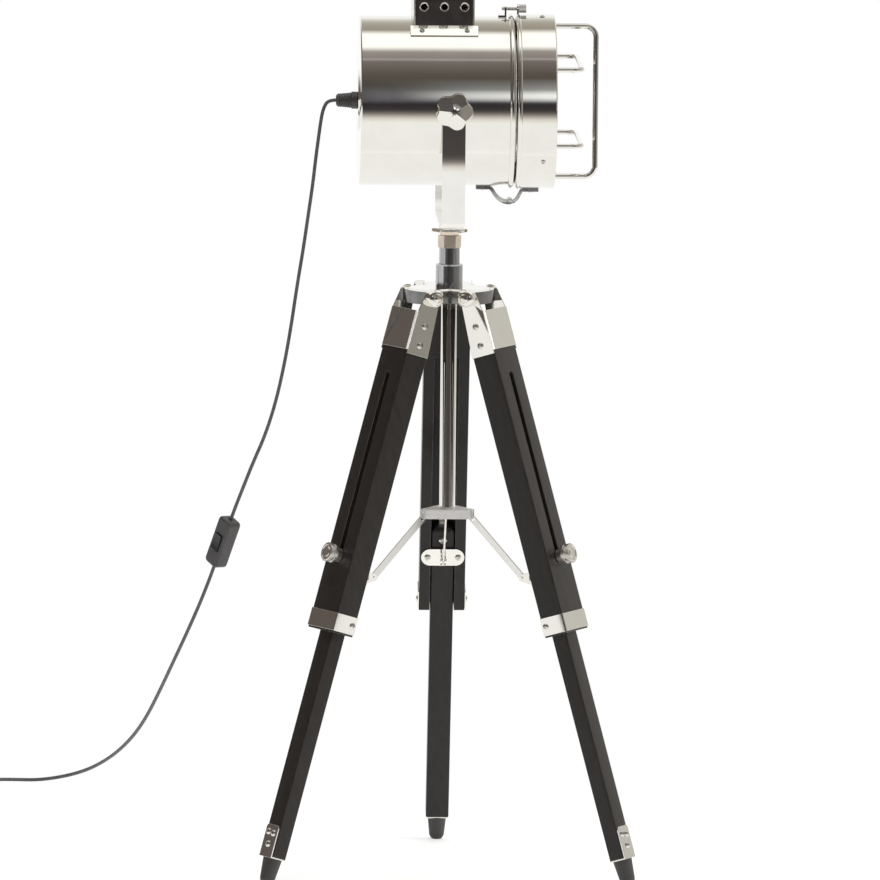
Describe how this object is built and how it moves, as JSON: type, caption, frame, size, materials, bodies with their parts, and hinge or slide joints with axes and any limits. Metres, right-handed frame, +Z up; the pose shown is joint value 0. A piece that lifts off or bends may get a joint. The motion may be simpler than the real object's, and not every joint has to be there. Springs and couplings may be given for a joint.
{
  "type": "tabletop searchlight lamp",
  "caption": "Searchlight lamp with a drum head in a swivelling yoke, on a folding wooden tripod with telescoping legs and an inline cord switch.",
  "frame": {"origin": "on the floor, at the middle of the box round the lamp without its cord", "axes": "+Z up along the tripod column, +X the way the lens looks with the yoke at rest, +Y to the lens's left"},
  "size_m": [0.7989, 0.791, 0.978],
  "materials": {
    "black_wood": "dark lacquer",
    "chrome": "polished plate",
    "brass": "satin",
    "rubber": "matte",
    "reflector": "bright",
    "ceramic": "glazed",
    "lamp_glass": "frosted",
    "lens_glass": "clear",
    "black_plastic": "moulded",
    "cord_cover": "sheathed"
  },
  "bodies": {
    "base": {"hub_plate": "chrome", "column_tube": "chrome", "spindle": "chrome", "spindle_nuts": "brass"},
    "leg_back": {"leg_upper_back": "black_wood", "leg_bracket_back": "chrome", "leg_band_back": "chrome", "brace_plate_back": "chrome"},
    "lower_leg_back": {"leg_lower_back": "black_wood", "foot_bracket_back": "chrome", "foot_back": "rubber", "clamp_bolt_back": "chrome"},
    "clamp_back": {"clamp_knob_back": "chrome"},
    "brace_back": {"brace_back": "chrome"},
    "leg_left": {"leg_upper_left": "black_wood", "leg_bracket_left": "chrome", "leg_band_left": "chrome", "brace_plate_left": "chrome"},
    "lower_leg_left": {"leg_lower_left": "black_wood", "foot_bracket_left": "chrome", "foot_left": "rubber", "clamp_bolt_left": "chrome"},
    "clamp_left": {"clamp_knob_left": "chrome"},
    "brace_left": {"brace_left": "chrome"},
    "leg_right": {"leg_upper_right": "black_wood", "leg_bracket_right": "chrome", "leg_band_right": "chrome", "brace_plate_right": "chrome"},
    "lower_leg_right": {"leg_lower_right": "black_wood", "foot_bracket_right": "chrome", "foot_right": "rubber", "clamp_bolt_right": "chrome"},
    "clamp_right": {"clamp_knob_right": "chrome"},
    "brace_right": {"brace_right": "chrome"},
    "spreader": {"spreader": "chrome"},
    "wing": {"wing_nut": "chrome"},
    "yoke": {"yoke": "chrome", "cord": "cord_cover", "cord_coil": "cord_cover", "plug": "black_plastic", "switch_body": "black_plastic"},
    "head": {"drum_shell": "chrome", "rear_cover": "chrome", "vent_box": "chrome", "reflector": "reflector", "lampholder": "ceramic", "bulb": "lamp_glass", "cord_gland": "black_plastic", "drum_hinge_leaf": "chrome", "latch_bracket": "chrome", "pivot_studs": "chrome"},
    "knob_near": {"pivot_knob_near": "chrome"},
    "knob_far": {"pivot_knob_far": "chrome"},
    "door": {"door_ring": "chrome", "lens": "lens_glass", "lens_guard": "chrome", "door_hinge_leaf": "chrome"},
    "latch": {"latch_screw": "chrome"},
    "rocker": {"rocker": "black_plastic"}
  },
  "joints": [
    {"name": "leg_fold_back", "type": "hinge", "parent": "base", "child": "leg_back", "pos_m": [0, -0.0171, 0.64], "axis": [-1, 0, 0], "range_deg": [0, 12]},
    {"name": "leg_slide_back", "type": "slide", "parent": "leg_back", "child": "lower_leg_back", "axis": [0, -0.2924, 0.9563], "range_m": [0, 0.2]},
    {"name": "clamp_turn_back", "type": "hinge", "parent": "lower_leg_back", "child": "clamp_back", "pos_m": [0, 0.08371, 0.35816], "axis": [0, 0.9563, 0.2924], "range_deg": [0, 360]},
    {"name": "brace_swing_back", "type": "hinge", "parent": "leg_back", "child": "brace_back", "pos_m": [0, 0.0399, 0.331], "axis": [-1, 0, 0], "range_deg": [-1, 34.18]},
    {"name": "leg_fold_left", "type": "hinge", "parent": "base", "child": "leg_left", "pos_m": [-0.03291, -0.0741, 0.64], "axis": [0.5, -0.866, 0], "range_deg": [0, 12]},
    {"name": "leg_slide_left", "type": "slide", "parent": "leg_left", "child": "lower_leg_left", "axis": [0.2532, 0.1462, 0.9563], "range_m": [0, 0.2]},
    {"name": "clamp_turn_left", "type": "hinge", "parent": "lower_leg_left", "child": "clamp_left", "pos_m": [-0.12021, -0.1245, 0.35816], "axis": [-0.8282, -0.4782, 0.2924], "range_deg": [0, 360]},
    {"name": "brace_swing_left", "type": "hinge", "parent": "leg_left", "child": "brace_left", "pos_m": [-0.08227, -0.1026, 0.331], "axis": [0.5, -0.866, 0], "range_deg": [-1, 34.18]},
    {"name": "leg_fold_right", "type": "hinge", "parent": "base", "child": "leg_right", "pos_m": [0.03291, -0.0741, 0.64], "axis": [0.5, 0.866, 0], "range_deg": [0, 12]},
    {"name": "leg_slide_right", "type": "slide", "parent": "leg_right", "child": "lower_leg_right", "axis": [-0.2532, 0.1462, 0.9563], "range_m": [0, 0.2]},
    {"name": "clamp_turn_right", "type": "hinge", "parent": "lower_leg_right", "child": "clamp_right", "pos_m": [0.12021, -0.1245, 0.35816], "axis": [0.8282, -0.4782, 0.2924], "range_deg": [0, 360]},
    {"name": "brace_swing_right", "type": "hinge", "parent": "leg_right", "child": "brace_right", "pos_m": [0.08227, -0.1026, 0.331], "axis": [0.5, 0.866, 0], "range_deg": [-1, 34.18]},
    {"name": "spreader_slide", "type": "slide", "parent": "base", "child": "spreader", "axis": [0, 0, 1], "range_m": [-0.001, 0.02287]},
    {"name": "wing_nut_turn", "type": "hinge", "parent": "base", "child": "wing", "pos_m": [0, -0.0551, 0.706], "axis": [0, 0, 1], "range_deg": [0, 360]},
    {"name": "yoke_pan", "type": "hinge", "parent": "base", "child": "yoke", "pos_m": [0, -0.0551, 0.7178], "axis": [0, 0, 1], "range_deg": [-180, 180]},
    {"name": "head_tilt", "type": "hinge", "parent": "yoke", "child": "head", "pos_m": [0, -0.0551, 0.853], "axis": [0, -1, 0], "range_deg": [-20, 35], "deforming": ["cord"]},
    {"name": "pivot_knob_near_turn", "type": "hinge", "parent": "yoke", "child": "knob_near", "pos_m": [0, -0.1581, 0.853], "axis": [0, -1, 0], "range_deg": [0, 360]},
    {"name": "pivot_knob_far_turn", "type": "hinge", "parent": "yoke", "child": "knob_far", "pos_m": [0, 0.0479, 0.853], "axis": [0, 1, 0], "range_deg": [0, 360]},
    {"name": "door_open", "type": "hinge", "parent": "head", "child": "door", "pos_m": [0.0655, -0.0551, 0.743], "axis": [0, 1, 0], "range_deg": [0, 90]},
    {"name": "latch_turn", "type": "hinge", "parent": "door", "child": "latch", "pos_m": [0.0715, -0.0551, 0.955], "axis": [1, 0, 0], "range_deg": [0, 360]},
    {"name": "rocker_press", "type": "hinge", "parent": "yoke", "child": "rocker", "pos_m": [-0.24919, 0.10877, 0.34137], "axis": [-0.5458, 0.7277, 0.4154], "range_deg": [-5, 5]}
  ],
  "couplings": [
    {"joint": "brace_swing_back", "follows": "leg_fold_back", "ratio": 2.765},
    {"joint": "leg_fold_left", "follows": "leg_fold_back", "ratio": 1},
    {"joint": "brace_swing_left", "follows": "leg_fold_back", "ratio": 2.765},
    {"joint": "leg_fold_right", "follows": "leg_fold_back", "ratio": 1},
    {"joint": "brace_swing_right", "follows": "leg_fold_back", "ratio": 2.765},
    {"joint": "spreader_slide", "follows": "leg_fold_back", "m_per_rad": 0.1044}
  ]
}
